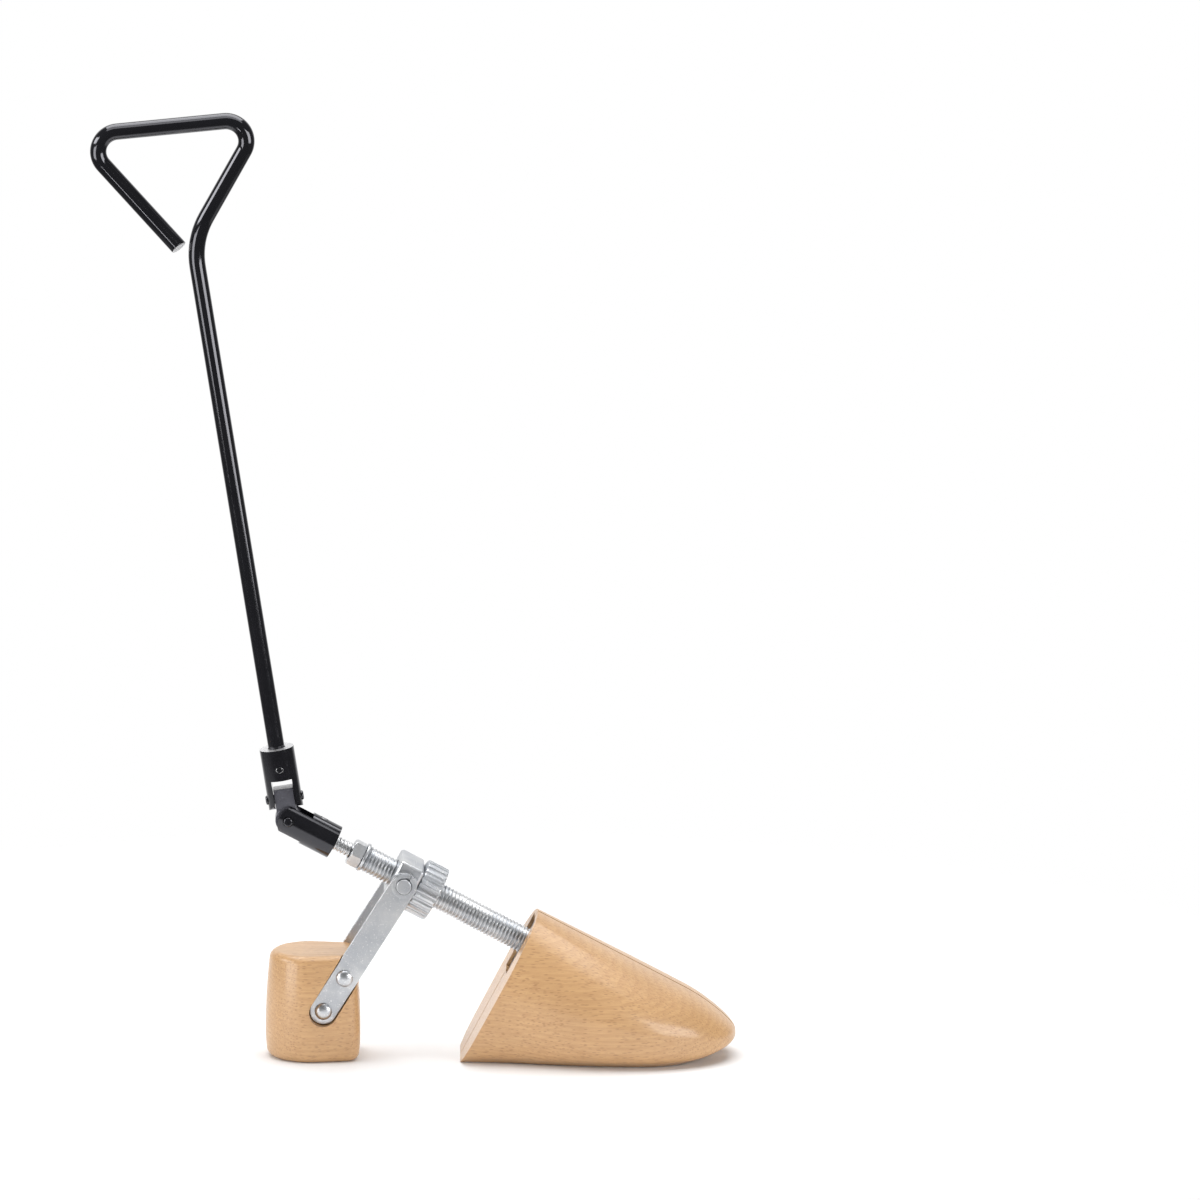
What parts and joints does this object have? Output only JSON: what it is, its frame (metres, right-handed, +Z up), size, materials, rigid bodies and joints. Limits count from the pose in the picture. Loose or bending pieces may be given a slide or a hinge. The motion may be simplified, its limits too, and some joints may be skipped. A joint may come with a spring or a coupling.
{
  "type": "boot stretcher",
  "caption": "Two-way boot stretcher: split wooden toe spread by a screw-drawn wedge, wooden heel block on a sliding carriage, universal joint and long crank handle.",
  "frame": {"origin": "On the floor, on the flat bottom of the heel block, straight below the lower pin of the handle's joint.", "axes": "+X towards the toe, +Y to the left of someone who faces the toe, +Z up."},
  "size_m": [0.3391, 0.084, 0.5078],
  "materials": {
    "black_paint": "gloss black paint on steel",
    "dark_steel": "bare dark steel",
    "zinc_plate": "bright zinc plating on steel",
    "brass": "turned brass",
    "varnished_beech": "varnished beech"
  },
  "bodies": {
    "frame": {"spreader_frame": "zinc_plate", "length_tube": "zinc_plate", "tube_set_screw": "dark_steel", "rear_guide_pin": "zinc_plate", "front_guide_pin": "zinc_plate", "thrust_washer": "zinc_plate"},
    "left_half": {"left_toe_half": "varnished_beech", "left_wear_plate": "dark_steel", "left_upper_plate_screw": "zinc_plate", "left_lower_plate_screw": "zinc_plate", "left_rear_guide_bush": "brass", "left_front_guide_bush": "brass"},
    "right_half": {"right_toe_half": "varnished_beech", "right_wear_plate": "dark_steel", "right_upper_plate_screw": "zinc_plate", "right_lower_plate_screw": "zinc_plate", "right_rear_guide_bush": "brass", "right_front_guide_bush": "brass"},
    "wedge": {"wedge": "dark_steel", "left_wedge_stud": "dark_steel", "right_wedge_stud": "dark_steel"},
    "spindle": {"spindle": "zinc_plate", "spindle_socket": "black_paint", "spindle_socket_pin": "black_paint", "lower_joint_pin": "black_paint", "thrust_nut": "zinc_plate"},
    "link": {"joint_link": "dark_steel"},
    "handle": {"handle": "black_paint", "handle_socket": "black_paint", "handle_socket_pin": "black_paint", "upper_joint_pin": "black_paint"},
    "heel_carriage": {"trunnion_block": "zinc_plate", "left_trunnion_clip": "zinc_plate", "right_trunnion_clip": "zinc_plate"},
    "length_nut": {"length_nut": "zinc_plate"},
    "heel": {"heel_block": "varnished_beech", "left_heel_strap": "zinc_plate", "right_heel_strap": "zinc_plate", "upper_heel_rivet": "zinc_plate", "lower_heel_rivet": "zinc_plate"}
  },
  "joints": [
    {"name": "spindle_spin", "type": "hinge", "parent": "frame", "child": "spindle", "pos_m": [0, 0, 0.12759], "axis": [0.8829, 0, -0.4695], "range_deg": [0, 4320]},
    {"name": "wedge_slide", "type": "slide", "parent": "frame", "child": "wedge", "axis": [-0.8829, 0, 0.4695], "range_m": [0, 0.024]},
    {"name": "left_spread", "type": "slide", "parent": "frame", "child": "left_half", "axis": [0, 1, 0], "range_m": [0, 0.0078]},
    {"name": "right_spread", "type": "slide", "parent": "frame", "child": "right_half", "axis": [0, -1, 0], "range_m": [0, 0.0078]},
    {"name": "link_swing", "type": "hinge", "parent": "spindle", "child": "link", "pos_m": [0, 0, 0.12759], "axis": [0, 1, 0], "range_deg": [-118, 12]},
    {"name": "handle_swing", "type": "hinge", "parent": "link", "child": "handle", "pos_m": [-0.00177, 0, 0.13875], "axis": [0.9877, 0, 0.1564], "range_deg": [-65, 65]},
    {"name": "heel_slide", "type": "slide", "parent": "frame", "child": "heel_carriage", "axis": [0.8829, 0, -0.4695], "range_m": [-0.014, 0.022]},
    {"name": "length_nut_spin", "type": "hinge", "parent": "heel_carriage", "child": "length_nut", "pos_m": [0.068, 0, 0.09144], "axis": [0.8829, 0, -0.4695], "range_deg": [-2520, 3960]},
    {"name": "heel_swivel", "type": "hinge", "parent": "heel_carriage", "child": "heel", "pos_m": [0.06101, 0, 0.09515], "axis": [0, 1, 0], "range_deg": [-12, 12]}
  ],
  "couplings": [
    {"joint": "wedge_slide", "follows": "spindle_spin", "m_per_rad": 0.00031831},
    {"joint": "left_spread", "follows": "spindle_spin", "m_per_rad": 0.00010343},
    {"joint": "right_spread", "follows": "spindle_spin", "m_per_rad": 0.00010343},
    {"joint": "heel_slide", "follows": "length_nut_spin", "m_per_rad": 0.0003183}
  ]
}
